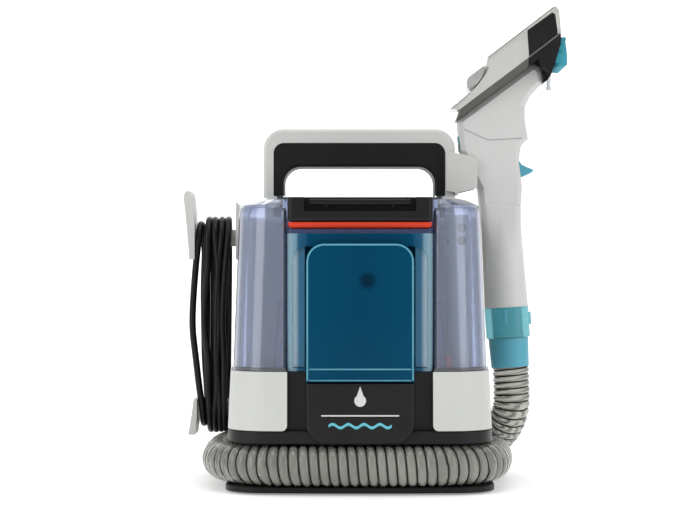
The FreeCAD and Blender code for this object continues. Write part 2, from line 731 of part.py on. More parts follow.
def nozzle_front():
    upper = head_profile([(101.9, 28.3), (130.2, 27.7), (131.2, 24.7), (121.7, 7.3), (88.9, 7.3)])
    jaw = head_profile([(83.2, 0.5), (88.7, 7.0), (89.0, 7.4), (121.8, 7.4), (125.4, 7.4), (120.6, 0.5)])
    chin_side = [
        (88.2, 0.5), (91.4, -1.4), (93.4, -7.8), (91.0, -15.0), (87.2, -20.4), (92.5, -20.4),
        (104.6, -12.1), (119.9, -0.2), (120.6, 0.6), (89, 0.6),
    ]
    chin = head_profile(chin_side, CHIN_PLAN)
    return in_head(upper.fuse([jaw, chin]).cut(mouth()).removeSplitter())


def nozzle_latch():
    side = [
        (25.8, 16.8), (25.8, 20.5), (30.2, 26.2), (33, 27.2), (51.2, 27.2), (51.2, 24.6),
        (46, 21.4), (34, 17.6), (29, 16.8),
    ]
    return in_head(profile(side, -16, 16))


def nozzle_brush(front):
    side = [
        (112, -2), (104.5, -13.6), (113.4, -20.3), (117.6, -14.6), (121.4, -8.4), (126.6, 1.0),
        (123.4, 3.4),
    ]
    return in_head(profile(side, -34, 34)).cut(front)


def spray_tip(front):
    stem = rod(2.0, V(184, TOOL_Y, 376), Z_AXIS, 14)
    flare = Part.makeCone(3.1, 2.0, 4, V(184, TOOL_Y, 374.4))
    pieces = stem.fuse(flare).cut(front).Solids
    return min(pieces, key=lambda solid: solid.BoundBox.ZMin)


# Assembly

def build():
    band = base_band()
    chassis = lower_chassis()
    panels = side_panels()
    front = nozzle_front()
    made = {
        "base_tray": base_tray(),
        "foot_pads": foot_pads(),
        "base_neck": base_neck(),
        "base_band": band,
        "lower_chassis": chassis,
        "tank_deck": tank_deck(),
        "front_apron": front_apron(band, chassis),
        "rear_housing": rear_housing(),
        "rear_grille": rear_grille(),
        "power_button": power_button(),
        "handle_shell": handle_shell(),
        "handle_liner": handle_liner(),
        "tool_holder": tool_holder(),
        "cord_hook_upper": cord_hook_upper(),
        "lead_coil": lead_coil(),
        "mains_tail": tube_along("mains_tail", LEAD_START, LEAD_R),
        "plug_tail": tube_along("plug_tail", LEAD_END, LEAD_R),
        "plug_body": plug_body(),
        "plug_pins": plug_pins(),
        "hose_elbow": hose_elbow(),
        "hose_ring": tube_along("hose_ring", HOSE_ROUTE, HOSE_R),
        "hose_riser": hose_riser(),
        "motor_can": motor_can(),
        "fan_housing": fan_housing(),
        "motor_shaft": motor_shaft(),
        "fan_impeller": fan_impeller(),
        "suction_duct": suction_duct(),
        "pump_body": pump_body(),
        "solution_line": solution_line(),
        "circuit_board": circuit_board(),
        "recovery_tank": recovery_tank(),
        "recovery_roof": recovery_roof(),
        "roof_gasket": roof_gasket(),
        "standpipe": standpipe(),
        "float_cage": float_cage(),
        "float_ball": float_ball(),
        "inlet_valve": inlet_valve(),
        "solution_tank": solution_tank(),
        "tank_collar": tank_collar(),
        "tank_valve": tank_valve(),
        "hinge_pin": hinge_pin(),
        "solution_lid": solution_lid(),
        "lid_gasket": lid_gasket(),
        "lid_latch": lid_latch(),
        "trigger": trigger(),
        "trigger_pin": trigger_pin(),
        "tool_collar": tool_collar(),
        "hose_cuff": hose_cuff(),
        "tool_band": tool_band(),
        "nozzle_window": nozzle_window(),
        "nozzle_front": front,
        "nozzle_latch": nozzle_latch(),
        "nozzle_brush": nozzle_brush(front),
        "spray_tip": spray_tip(front),
    }
    made.update(panels)
    made.update(tool_shell())
    left = panels["side_panel_left"]
    made["cord_hook_lower"] = max(cord_hook_lower(left, band), key=lambda s: s.Volume)
    made["cord_gland"] = cord_gland(band)
    return made


os.makedirs("parts", exist_ok=True)
for name, shape in build().items():
    if not shape.isValid() or shape.Volume < 1:
        print(f"CHECK {name}: valid {shape.isValid()}, volume {shape.Volume:.1f}")
    shape.exportStep(f"parts/{name}.step")
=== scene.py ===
"""Looks of the spot extractor: ribbed hose, wound lead, clear tanks, brush and moulded plastic."""

import math
import random

import bmesh
import bpy
from mathutils import Matrix, Vector


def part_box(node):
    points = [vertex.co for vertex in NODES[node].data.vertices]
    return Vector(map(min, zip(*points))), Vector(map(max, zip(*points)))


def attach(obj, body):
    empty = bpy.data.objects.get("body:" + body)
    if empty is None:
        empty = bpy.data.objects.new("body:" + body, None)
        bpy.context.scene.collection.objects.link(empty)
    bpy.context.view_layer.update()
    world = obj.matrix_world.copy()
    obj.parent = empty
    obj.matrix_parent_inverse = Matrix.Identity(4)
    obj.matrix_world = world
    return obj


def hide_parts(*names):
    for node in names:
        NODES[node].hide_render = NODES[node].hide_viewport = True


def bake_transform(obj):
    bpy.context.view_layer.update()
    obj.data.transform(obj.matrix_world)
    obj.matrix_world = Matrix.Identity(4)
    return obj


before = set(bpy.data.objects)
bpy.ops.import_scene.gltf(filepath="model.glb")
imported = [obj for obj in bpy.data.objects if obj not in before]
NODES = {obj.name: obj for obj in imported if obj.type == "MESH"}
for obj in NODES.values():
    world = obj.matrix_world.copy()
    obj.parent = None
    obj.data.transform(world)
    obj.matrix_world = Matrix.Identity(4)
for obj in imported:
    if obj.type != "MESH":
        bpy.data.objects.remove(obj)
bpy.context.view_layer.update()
random.seed(7)


# Camera

def make_camera():
    data = bpy.data.cameras.new("camera")
    data.lens = 97.8
    data.sensor_width = 36.0
    camera = bpy.data.objects.new("camera", data)
    camera.location = (-0.009, -1.8, 0.207)
    camera.rotation_euler = (math.pi / 2, 0, 0)
    bpy.context.collection.objects.link(camera)
    bpy.context.scene.camera = camera


make_camera()


# Materials

def new_material(name):
    material = bpy.data.materials.new(name)
    material.use_nodes = True
    tree = material.node_tree
    return material, tree, tree.nodes["Principled BSDF"]


def link(tree, a, out, b, socket):
    tree.links.new(a.outputs[out], b.inputs[socket])


def noise(tree, scale, detail=2.0, rough=0.5):
    place = tree.nodes.new("ShaderNodeTexCoord")
    node = tree.nodes.new("ShaderNodeTexNoise")
    node.inputs["Scale"].default_value = scale
    node.inputs["Detail"].default_value = detail
    node.inputs["Roughness"].default_value = rough
    link(tree, place, "Object", node, "Vector")
    return node


def ramp(tree, source, out, low, high, start=0.3, end=0.7):
    node = tree.nodes.new("ShaderNodeValToRGB")
    node.color_ramp.elements[0].position = start
    node.color_ramp.elements[1].position = end
    node.color_ramp.elements[0].color = (*low, 1)
    node.color_ramp.elements[1].color = (*high, 1)
    link(tree, source, out, node, "Fac")
    return node


def shade(colour, factor):
    return tuple(max(0.0, min(1.0, c * factor)) for c in colour)


def add_grain(tree, shader, scale, strength, distance=0.0002):
    """A fine moulded or brushed texture as bump."""
    grain = noise(tree, scale, 3.0, 0.6)
    bump = tree.nodes.new("ShaderNodeBump")
    bump.inputs["Strength"].default_value = strength
    bump.inputs["Distance"].default_value = distance
    link(tree, grain, "Fac", bump, "Height")
    link(tree, bump, "Normal", shader, "Normal")


def add_mottle(tree, shader, colour, spread, rough, rough_spread):
    """Slight changes of colour and gloss over a large scale."""
    cloud = noise(tree, 22, 3.0, 0.55)
    tint = ramp(tree, cloud, "Fac", shade(colour, 1 - spread), shade(colour, 1 + spread))
    link(tree, tint, "Color", shader, "Base Color")
    smear = noise(tree, 60, 4.0, 0.6)
    gloss = ramp(tree, smear, "Fac", (rough - rough_spread,) * 3, (rough + rough_spread,) * 3)
    link(tree, gloss, "Color", shader, "Roughness")


def plastic(name, colour, rough=0.42, grain=0.25, grain_scale=2600, spread=0.02, gloss=0.4):
    material, tree, shader = new_material(name)
    add_mottle(tree, shader, colour, spread, rough, 0.05)
    add_grain(tree, shader, grain_scale, grain)
    shader.inputs["IOR"].default_value = 1.47
    shader.inputs["Specular IOR Level"].default_value = gloss
    return material


def clear(name, colour, through=0.8, rough=0.08, ior=1.12, spread=0.02, coat=0.3, grain=0.01,
          dye=None, depth=0.0):
    """Tinted moulded plastic that lets light through; its dye darkens with thickness."""
    material, tree, shader = new_material(name)
    add_mottle(tree, shader, colour, spread, rough, min(0.03, rough * 0.4))
    add_grain(tree, shader, 160, grain, 0.0002)
    shader.inputs["Transmission Weight"].default_value = through
    shader.inputs["IOR"].default_value = ior
    shader.inputs["Coat Weight"].default_value = coat
    shader.inputs["Coat Roughness"].default_value = 0.1
    if dye:
        volume = tree.nodes.new("ShaderNodeVolumeAbsorption")
        volume.inputs["Color"].default_value = (*dye, 1)
        volume.inputs["Density"].default_value = depth
        link(tree, volume, "Volume", tree.nodes["Material Output"], "Volume")
    return material


def metal(name, colour, rough=0.3):
    material, tree, shader = new_material(name)
    add_mottle(tree, shader, colour, 0.05, rough, 0.08)
    add_grain(tree, shader, 1400, 0.2)
    shader.inputs["Metallic"].default_value = 1.0
    return material


LIGHT_GREY = plastic("light_grey", (0.57, 0.58, 0.555), 0.42, 0.2)
TOOL_WHITE = plastic("tool_white", (0.60, 0.60, 0.59), 0.40, 0.15)
BLACK = plastic("satin_black", (0.010, 0.010, 0.011), 0.33, 0.2, spread=0.15, gloss=0.22)
SOFT_BLACK = plastic("soft_black", (0.009, 0.009, 0.010), 0.45, 0.4, spread=0.15, gloss=0.2)
DARK_GREY = plastic("dark_grey", (0.05, 0.052, 0.052), 0.42, 0.25, spread=0.06, gloss=0.3)
BAND_GREY = plastic("band_grey", (0.095, 0.10, 0.088), 0.36, 0.2, spread=0.05, gloss=0.3)
RUBBER = plastic("rubber", (0.015, 0.015, 0.015), 0.75, 0.6, 1600, spread=0.12, gloss=0.2)
LEAD = plastic("lead_jacket", (0.006, 0.006, 0.006), 0.33, 0.15, 3200, spread=0.15, gloss=0.25)
RED = plastic("red_seal", (0.60, 0.04, 0.012), 0.42, 0.2, spread=0.05, gloss=0.3)
TEAL = plastic("teal", (0.09, 0.36, 0.47), 0.38, 0.15, spread=0.03)
BRISTLE = plastic("bristle", (0.045, 0.33, 0.42), 0.45, 0.1, spread=0.15, gloss=0.3)
BOARD = plastic("board_green", (0.02, 0.15, 0.05), 0.35, 0.3, 900, spread=0.2)
PAINT_WHITE = plastic("paint_white", (0.62, 0.62, 0.62), 0.4, 0.1)
PAINT_TEAL = plastic("paint_teal", (0.12, 0.47, 0.58), 0.4, 0.1)
PALE_SEAL = plastic("pale_seal", (0.62, 0.63, 0.62), 0.45, 0.1)
SMOKE = clear("smoke_clear", (0.76, 0.82, 0.95), 0.88, 0.07, 1.22, coat=1.0,
              dye=(0.16, 0.22, 0.50), depth=95)
RIB_SMOKE = clear("rib_smoke", (0.32, 0.36, 0.58), 0.7, 0.1, 1.2)
MILKY = clear("milky_clear", (0.80, 0.82, 0.84), 0.35, 0.3)
VIOLET = clear("violet_clear", (0.10, 0.12, 0.26), 0.6, 0.1, 1.2, coat=0.2)
RIM_CYAN = clear("rim_cyan", (0.16, 0.55, 0.72), 0.4, 0.15, 1.2)
TEAL_CLEAR = clear("teal_clear", (0.20, 0.52, 0.58), 0.72, 0.12)
NOZZLE_CLEAR = clear("nozzle_clear", (0.62, 0.63, 0.60), 0.35, 0.12)
LATCH_CLEAR = clear("latch_clear", (0.52, 0.53, 0.515), 0.4, 0.15)


PORT = (0.0065, 0, 0.191)   # the clean-water tank's port, on the plane of the pane


def scaled(tree, source, out, factor):
    """A value times a factor, so that a ramp can span it."""
    node = tree.nodes.new("ShaderNodeMath")
    node.operation = "MULTIPLY"
    node.inputs[1].default_value = factor
    link(tree, source, out, node, 0)
    return node


def across(tree):
    """The place on the object split in three, and ten times the distance from its middle plane."""
    place = tree.nodes.new("ShaderNodeTexCoord")
    split = tree.nodes.new("ShaderNodeSeparateXYZ")
    side = tree.nodes.new("ShaderNodeMath")
    side.operation = "ABSOLUTE"
    link(tree, place, "Object", split, "Vector")
    link(tree, split, "X", side, 0)
    return split, scaled(tree, side, 0, 10.0)


def port_shadow(tree, split):
    """The dark round port behind the pane, seen softly through the dyed wall."""
    flat = tree.nodes.new("ShaderNodeCombineXYZ")
    link(tree, split, "X", flat, "X")
    link(tree, split, "Z", flat, "Z")
    away = tree.nodes.new("ShaderNodeVectorMath")
    away.operation = "DISTANCE"
    away.inputs[1].default_value = PORT
    link(tree, flat, "Vector", away, 0)
    return ramp(tree, scaled(tree, away, "Value", 50.0), 0, (0.30, 0.38, 0.42), (1, 1, 1), 0.20, 0.48)


def tank_blue_painted_light():
    """Deep blue in front of the water, with painted light towards the tank's sides: paler strips where
    light comes through its curved side walls.
    """
    material = clear("blue_clear", (0.02, 0.22, 0.42), 0.42, 0.03, 1.1, coat=0.08, grain=0.001)
    tree = material.node_tree
    shader = tree.nodes["Principled BSDF"]
    split, spread = across(tree)
    tint = ramp(tree, spread, 0, (0.0004, 0.078, 0.165), (0.16, 0.26, 0.42), 0.0, 1.0)
    # The last two pale stops are painted light on the tank's sides.
    for place, colour in (
        (0.465, (0.001, 0.09, 0.185)), (0.48, (0.02, 0.12, 0.24)), (0.55, (0.035, 0.16, 0.29)),
        (0.575, (0.26, 0.46, 0.58)), (0.615, (0.34, 0.52, 0.62)),
    ):
        stop = tint.color_ramp.elements.new(place)
        stop.color = (*colour, 1)
    port = port_shadow(tree, split)
    mixed = tree.nodes.new("ShaderNodeMixRGB")
    mixed.blend_type = "MULTIPLY"
    mixed.inputs["Fac"].default_value = 1.0
    link(tree, tint, "Color", mixed, "Color1")
    link(tree, port, "Color", mixed, "Color2")
    link(tree, mixed, "Color", shader, "Base Color")
    return material


def corner_blue_painted_light():
    """Painted light on the tank's rounded corner: blue inside, pale towards its outer edge where the
    corner catches light.
    """
    material, tree, shader = new_material("corner_blue_painted_light")
    _, spread = across(tree)
    tint = ramp(tree, spread, 0, (0.02, 0.14, 0.26), (0.50, 0.66, 0.74), 0.545, 0.585)
    link(tree, tint, "Color", shader, "Base Color")
    shader.inputs["Roughness"].default_value = 0.3
    return material


BLUE = tank_blue_painted_light()
DEEP_BLUE = plastic("deep_blue", (0.02, 0.20, 0.34), 0.5, 0.1, spread=0.12, gloss=0.2)
HOSE_FILM = clear("hose_film", (0.50, 0.495, 0.445), 0.62, 0.1, 1.2, spread=0.22, coat=1.0)
CORNER_BLUE_PAINTED_LIGHT = corner_blue_painted_light()
SEAM_GREY = plastic("seam_grey", (0.14, 0.145, 0.14), 0.4, 0.1, gloss=0.3)
# Grey of the painted shade line along the grip's crease.
CREASE_SHADE_GREY = plastic("crease_shade_grey", (0.33, 0.33, 0.325), 0.5, 0.1, gloss=0.3)
WIRE = plastic("hose_wire", (0.012, 0.011, 0.009), 0.4, 0.1, gloss=0.3)
STEEL = metal("steel", (0.6, 0.6, 0.6))
BRASS = metal("brass_pin", (0.72, 0.58, 0.3), 0.25)

NODE_LOOKS = {
    "base_tray": SOFT_BLACK, "foot_pads": RUBBER, "base_neck": SOFT_BLACK, "base_band": BLACK,
    "lower_chassis": BLACK, "front_apron": BLACK, "tank_deck": BLACK,
    "side_panel_left": LIGHT_GREY, "side_panel_right": LIGHT_GREY,
    "rear_housing": LIGHT_GREY, "rear_grille": BLACK, "power_button": DARK_GREY,
    "handle_shell": LIGHT_GREY, "handle_liner": SOFT_BLACK, "tool_holder": LIGHT_GREY,
    "cord_hook_upper": LIGHT_GREY, "cord_hook_lower": LIGHT_GREY, "cord_gland": SOFT_BLACK,
    "plug_body": LEAD, "plug_pins": BRASS, "hose_elbow": BLACK,
    "motor_can": STEEL, "fan_housing": DARK_GREY, "motor_shaft": STEEL, "fan_impeller": DARK_GREY,
    "suction_duct": DARK_GREY, "pump_body": DARK_GREY, "solution_line": MILKY, "circuit_board": BOARD,
    "recovery_tank": SMOKE, "recovery_roof": SMOKE, "roof_gasket": SMOKE, "standpipe": PALE_SEAL,
    "float_cage": PALE_SEAL, "float_ball": DARK_GREY, "inlet_valve": RED,
    "solution_tank": BLUE, "tank_collar": VIOLET, "tank_valve": BLACK, "hinge_pin": STEEL,
    "solution_lid": BLACK, "lid_gasket": RED, "lid_latch": BLACK,
    "trigger": TEAL, "trigger_pin": STEEL, "tool_collar": TEAL_CLEAR, "hose_cuff": TEAL,
    "tool_shell_front": TOOL_WHITE, "tool_shell_back": TOOL_WHITE, "tool_band": BAND_GREY,
    "nozzle_window": NOZZLE_CLEAR, "nozzle_front": BLACK, "nozzle_latch": LATCH_CLEAR,
    "nozzle_brush": BRISTLE, "spray_tip": MILKY,
}
SOFT_EDGE = {
    "front_apron": 0.0006, "tool_holder": 0.0014, "cord_hook_upper": 0.0015, "cord_hook_lower": 0.0015,
    "solution_lid": 0.0008, "lid_gasket": 0.0008, "tank_collar": 0.0008, "tool_band": 0.0008,
    "nozzle_window": 0.0012, "nozzle_front": 0.0012, "nozzle_latch": 0.001, "trigger": 0.0012,
    "tool_shell_front": 0.0009, "tool_shell_back": 0.0009, "side_panel_left": 0.0008,
    "side_panel_right": 0.0008, "rear_grille": 0.0006, "plug_body": 0.0008, "lid_latch": 0.0006,
    "handle_shell": 0.0007, "handle_liner": 0.0006, "recovery_tank": 0.0006, "solution_tank": 0.0008,
    "hose_elbow": 0.001,
}


def dress_nodes():
    for name, material in NODE_LOOKS.items():
        node = NODES[name]
        node.data.materials.clear()
        node.data.materials.append(material)
        if name in SOFT_EDGE:
            bevel = node.modifiers.new("soft_edge", "BEVEL")
            bevel.width = SOFT_EDGE[name]
            bevel.segments = 3
            bevel.limit_method = "ANGLE"
            bevel.angle_limit = math.radians(32)
            bevel.harden_normals = True


# Curves and tubes

def route_curve(name, points, bevel=0.0):
    """A smooth NURBS line with the route's points as its control points."""
    data = bpy.data.curves.new(name, "CURVE")
    data.dimensions = "3D"
    data.resolution_u = 10
    data.bevel_depth = bevel
    data.bevel_resolution = 5
    spline = data.splines.new("NURBS")
    spline.points.add(len(points) - 1)
    for slot, place in zip(spline.points, points):
        slot.co = (*place, 1)
    spline.order_u = 3
    spline.use_endpoint_u = True
    curve = bpy.data.objects.new(name, data)
    bpy.context.collection.objects.link(curve)
    return curve


def line_of(points):
    """Places along the smooth line through a route."""
    curve = route_curve("route", points)
    mesh = bpy.data.meshes.new_from_object(curve)
    line = [v.co.copy() for v in mesh.vertices]
    bpy.data.meshes.remove(mesh)
    bpy.data.objects.remove(curve)
    return line


def length_of(line):
    return sum((b - a).length for a, b in zip(line, line[1:]))


def evenly(line, count):
    """Places at even steps along a line, with the direction at each."""
    total = length_of(line)
    places = []
    walked = 0.0
    index = 0
    for k in range(count):
        want = total * k / (count - 1)
        while index < len(line) - 2 and walked + (line[index + 1] - line[index]).length < want:
            walked += (line[index + 1] - line[index]).length
            index += 1
        step = line[index + 1] - line[index]
        part = min(1.0, (want - walked) / max(step.length, 1e-9))
        places.append((line[index] + step * part, step.normalized()))
    return places


def mesh_object(name, vertices, faces, material, smooth=True):
    mesh = bpy.data.meshes.new(name)
    mesh.from_pydata(vertices, [], faces)
    mesh.validate()
    mesh.materials.append(material)
    for polygon in mesh.polygons:
        polygon.use_smooth = smooth
    made = bpy.data.objects.new(name, mesh)
    bpy.context.collection.objects.link(made)
    return made


def ring_places(place, side, up, radius, sides):
    """Places round a ring about a point."""
    places = []
    for s in range(sides):
        turn = 2 * math.pi * s / sides
        places.append(place + (side * math.cos(turn) + up * math.sin(turn)) * radius)
    return places


def wall_faces(rings, sides, first=0):
    """The faces between each ring of a tube and the next."""
    faces = []
    for k in range(rings - 1):
        base = first + k * sides
        for s in range(sides):
            t = (s + 1) % sides
            faces.append((base + s, base + t, base + sides + t, base + sides + s))
    return faces


# Suction hose: millimetre route of the groove round the base, then the riser into the cuff

MM = 0.001
HOSE_ROUTE = [
    (125.2, -2, 25.5), (125.2, -66, 25.5), (88.5, -103, 25.5), (0, -106.5, 25.5), (-88.5, -103, 25.5),
    (-126.5, -64, 25.5), (-130.0, 0, 25.5), (-126.5, 60, 25.5), (-90, 99, 26), (-28, 109, 26.5),
    (38, 110, 27.5), (83, 106.5, 29), (109, 97, 30.5), (122.5, 85, 32), (130, 74.5, 34.5),
    (136.5, 65, 40), (142, 57, 48.5), (146, 51, 59), (148, 48, 70), (148, 48, 86), (147.0, 48, 106),
]
HOSE_OUTER = 0.0180
HOSE_INNER = 0.0160
RIB_PITCH = 0.0085
RISER_PITCH = 0.0062       # the ribs sit closer where the hose climbs
BEND_START = 0.66          # share of the hose's length where the closer ribs begin
RING_SIDES = 40
STEPS_PER_RIB = 10
WIRE_R = 0.0009
WIRE_STEPS = 30            # steps of the wire in each turn round the hose


def hose_frames(rings):
    """Two sideways directions at each ring that never twist about the line."""
    frames = []
    side = None
    for _, along in rings:
        if side is None:
            side = along.cross(Vector((0, 0, 1))).normalized()
        side = (side - along * side.dot(along)).normalized()
        frames.append((side, along.cross(side)))
    return frames


def rib_phase(walked, length):
    """Turns of the spiral up to a distance along the hose."""
    bend = length * BEND_START
    near = min(walked, bend)
    return near / RIB_PITCH + (walked - near) / RISER_PITCH


def make_film(rings, frames, length):
    vertices = []
    for k, ((place, _), (side, up)) in enumerate(zip(rings, frames)):
        phase = rib_phase(length * k / (len(rings) - 1), length)
        for s in range(RING_SIDES):
            turn = 2 * math.pi * s / RING_SIDES
            wave = 0.5 + 0.5 * math.cos(2 * math.pi * (phase - s / RING_SIDES))
            radius = HOSE_OUTER - (HOSE_OUTER - HOSE_INNER) * wave ** 2.5
            vertices.append(place + (side * math.cos(turn) + up * math.sin(turn)) * radius)
    faces = wall_faces(len(rings), RING_SIDES)
    faces.append(tuple(range(RING_SIDES)))
    last = (len(rings) - 1) * RING_SIDES
    faces.append(tuple(reversed(range(last, last + RING_SIDES))))
    return mesh_object("suction_hose", vertices, faces, HOSE_FILM)


def tube_mesh(name, places, radius, sides, material):
    """A thin tube along closely spaced places."""
    vertices = []
    side = None
    for k, place in enumerate(places):
        ahead = places[min(k + 1, len(places) - 1)]
        behind = places[max(k - 1, 0)]
        along = (ahead - behind).normalized()
        if side is None:
            side = along.orthogonal().normalized()
        side = (side - along * side.dot(along)).normalized()
        vertices += ring_places(place, side, along.cross(side), radius, sides)
    faces = wall_faces(len(places), sides)
    faces.append(tuple(range(sides)))
    faces.append(tuple(reversed(range(len(vertices) - sides, len(vertices)))))
    return mesh_object(name, vertices, faces, material)


def make_wire(line, length):
    """The dark spiral that keeps the hose open."""
    count = round(length / RISER_PITCH) * WIRE_STEPS
    rings = evenly(line, count + 1)
    places = []
    for k, ((place, _), (side, up)) in enumerate(zip(rings, hose_frames(rings))):
        turn = 2 * math.pi * rib_phase(length * k / count, length)
        places.append(place + (side * math.cos(turn) + up * math.sin(turn)) * (HOSE_INNER + 0.0001))
    return tube_mesh("hose_wire", places, WIRE_R, 6, WIRE)


def make_hose():
    route = [Vector(p) * MM for p in HOSE_ROUTE]
    line = line_of(route)
    length = length_of(line)
    rings = evenly(line, round(length / RIB_PITCH) * STEPS_PER_RIB + 1)
    hose = make_film(rings, hose_frames(rings), length)
    wire = make_wire(line, length)
    for piece in (hose, wire):
        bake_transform(piece)
    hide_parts("hose_ring", "hose_riser")


make_hose()


# Mains lead: out of the gland, nine turns over the two hooks, then the plug

LEAD_R = 0.0032
COIL_Y = 0.045
SADDLE_R = 0.0133
SADDLE_TOP_Z = 0.2258
SADDLE_LOW_Z = 0.071
LAYER_STEP = 0.0064
LEAD_START = [(-136, 76, 51.4), (-144, 76, 51.4), (-151, 70.5, 52), (-152, 61, 51.2)]
LEAD_END = [(-144, 69, 171), (-144, 70, 158), (-143.5, 74, 147), (-142.5, 80.5, 137.5),
            (-140.8, 89, 129), (-140, 94, 119), (-140, 94, 108)]
# Each turn: its place across the hooks in mm, its layer, and how far it bows sideways
TURNS = [
    (-154.2, 0.3, -7.5), (-147.7, 0, -2.4), (-141.2, 0, 1.2), (-134.7, 0, -1.2), (-128.2, 0, 1.2),
    (-125.6, 1, -2.0), (-131.8, 1, -4.6), (-138.4, 1, 4.0), (-145.0, 1, -3.2),
]
COIL_MIDDLE = -139.0
ARC_STEPS = 6


def turn_points(place, layer, bow, following, first):
    """Forward under the low hook, up the front, back over the high hook and down behind."""
    rise = SADDLE_TOP_Z - SADDLE_LOW_Z
    radius = SADDLE_R + LEAD_R + layer * LAYER_STEP
    step = math.pi / ARC_STEPS
    reach = radius / math.cos(step / 2)
    x = place * MM
    drift = (following - place) * MM
    lean = bow * MM
    tuck = (COIL_MIDDLE - place) * MM * 0.26
    slack = random.uniform(0, 0.0035)
    made = []
    for k in range(1 if first else 0, ARC_STEPS):
        turn = step * (k + 0.5)
        made.append((x + tuck, COIL_Y + reach * math.cos(turn),
                     SADDLE_LOW_Z - (reach + slack) * math.sin(turn)))
    for share in (0.10, 0.28, 0.48, 0.68, 0.88):
        belly = math.sin(math.pi * share)
        wander = random.uniform(-0.0007, 0.0007) * (1 + 2 * layer)
        made.append((x + lean * belly + wander + tuck * (1 - share),
                     COIL_Y - radius - 0.0015 * belly * (1 + layer), SADDLE_LOW_Z + rise * share))
    for k in range(ARC_STEPS):
        turn = step * (k + 0.5)
        made.append((x + drift * k / ARC_STEPS * 0.4, COIL_Y - reach * math.cos(turn),
                     SADDLE_TOP_Z + reach * math.sin(turn)))
    for share in (0.88, 0.68, 0.48, 0.28, 0.10):
        belly = math.sin(math.pi * share)
        made.append((x + drift * (0.4 + 0.5 * (1 - share)) + tuck * (1 - share),
                     COIL_Y + radius + 0.0012 * belly, SADDLE_LOW_Z + rise * share))
    return made


def make_lead():
    points = [Vector(p) * MM for p in LEAD_START]
    for k, (place, layer, bow) in enumerate(TURNS):
        following = TURNS[k + 1][0] if k + 1 < len(TURNS) else place
        turn = turn_points(place, layer, bow, following, k == 0)
        if k + 1 == len(TURNS):
            turn = turn[:-4]
        points += [Vector(p) for p in turn]
    points += [Vector(p) * MM for p in LEAD_END]
    lead = route_curve("mains_lead", points, LEAD_R)
    lead.data.materials.append(LEAD)
    length = length_of(line_of(points))
    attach(lead, "root")
    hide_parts("mains_tail", "lead_coil", "plug_tail")


make_lead()
dress_nodes()


# Outlines

CORNER_STEPS = 8


def rounded_frame(half, low, high, radius, y):
    """Places round an upright rectangle with round upper corners, open at the foot."""
    middle = (low + high) / 2
    places = [Vector((-half, y, low)), Vector((-half, y, middle))]
    for corner, start in ((radius - half, math.pi), (half - radius, math.pi / 2)):
        for k in range(CORNER_STEPS + 1):
            turn = start - math.pi / 2 * k / CORNER_STEPS
            places.append(Vector((corner + radius * math.cos(turn), y,
                                  high - radius + radius * math.sin(turn))))
    places.append(Vector((half, y, middle)))
    places.append(Vector((half, y, low)))
    return places


def block(half, low, high):
    """An upright rectangle of (x, z) points about the middle plane."""
    return [(-half, low), (half, low), (half, high), (-half, high)]


def plate(name, outline, y0, y1, material, frame_of=None):
    """A flat outline of (x, z) points given thickness along Y."""
    count = len(outline)
    vertices = [Vector((x, y0, z)) for x, z in outline] + [Vector((x, y1, z)) for x, z in outline]
    if frame_of:
        vertices = [frame_of @ v for v in vertices]
    faces = [tuple(range(count)), tuple(reversed(range(count, 2 * count)))]
    for k in range(count):
        n = (k + 1) % count
        faces.append((k, k + count, n + count, n))
    made = mesh_object(name, vertices, faces, material, smooth=False)
    mesh = bmesh.new()
    mesh.from_mesh(made.data)
    bmesh.ops.recalc_face_normals(mesh, faces=mesh.faces)
    mesh.to_mesh(made.data)
    mesh.free()
    return made


# Clean-water tank: painted highlights along its rims, the lines of its inner walls, its dark back and
# painted light on its pale corners

PANE_HALF = 0.0468         # half width of the raised front pane
PANE_TOP = 0.2228
PANE_CORNER = 0.0150
PANE_LIP_Z = 0.1122
TANK_FLOOR = 0.1135


def tank_trim():
    low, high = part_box("solution_tank")
    front = low[1]
    foot_z = low[2] + 0.002
    # Pale cyan tubes along the pane's rounded edges, lip and foot: painted highlights where these edges
    # catch the light.
    rim = rounded_frame(PANE_HALF, foot_z, PANE_TOP, PANE_CORNER, front + 0.0006)
    pieces = [tube_mesh("pane_rim", rim, 0.0009, 8, RIM_CYAN)]
    for name, y, z in (("pane_lip", front + 0.0002, PANE_LIP_Z), ("pane_foot", front + 0.0003, foot_z)):
        bar = [Vector((x, y, z)) for x in (-0.0455, 0.0455)]
        pieces.append(tube_mesh(name, bar, 0.0008, 8, RIM_CYAN))
    inner = rounded_frame(0.0335, 0.122, 0.212, 0.008, front + 0.0075)
    pieces.append(tube_mesh("inner_wall_line", inner, 0.0006, 6, RIM_CYAN))
    liner = block(0.0610, TANK_FLOOR, 0.2295)
    pieces.append(plate("tank_liner", liner, high[1] - 0.0045, high[1] - 0.0030, DEEP_BLUE))
    # Thin plates over the tank's corners carry the corner's painted light.
    strip = [(0.0495, TANK_FLOOR), (0.0620, TANK_FLOOR), (0.0620, 0.2290), (0.0495, 0.2290)]
    for side, name in ((-1, "tank_corner_painted_light_left"), (1, "tank_corner_painted_light_right")):
        pieces.append(plate(name, [(side * x, z) for x, z in strip], -0.1003, -0.0985, CORNER_BLUE_PAINTED_LIGHT))
    for piece in pieces:
        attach(piece, "solution_tank")


# Dirty-water tank: the fins beside its notch

FIN_FRONT = -0.0925


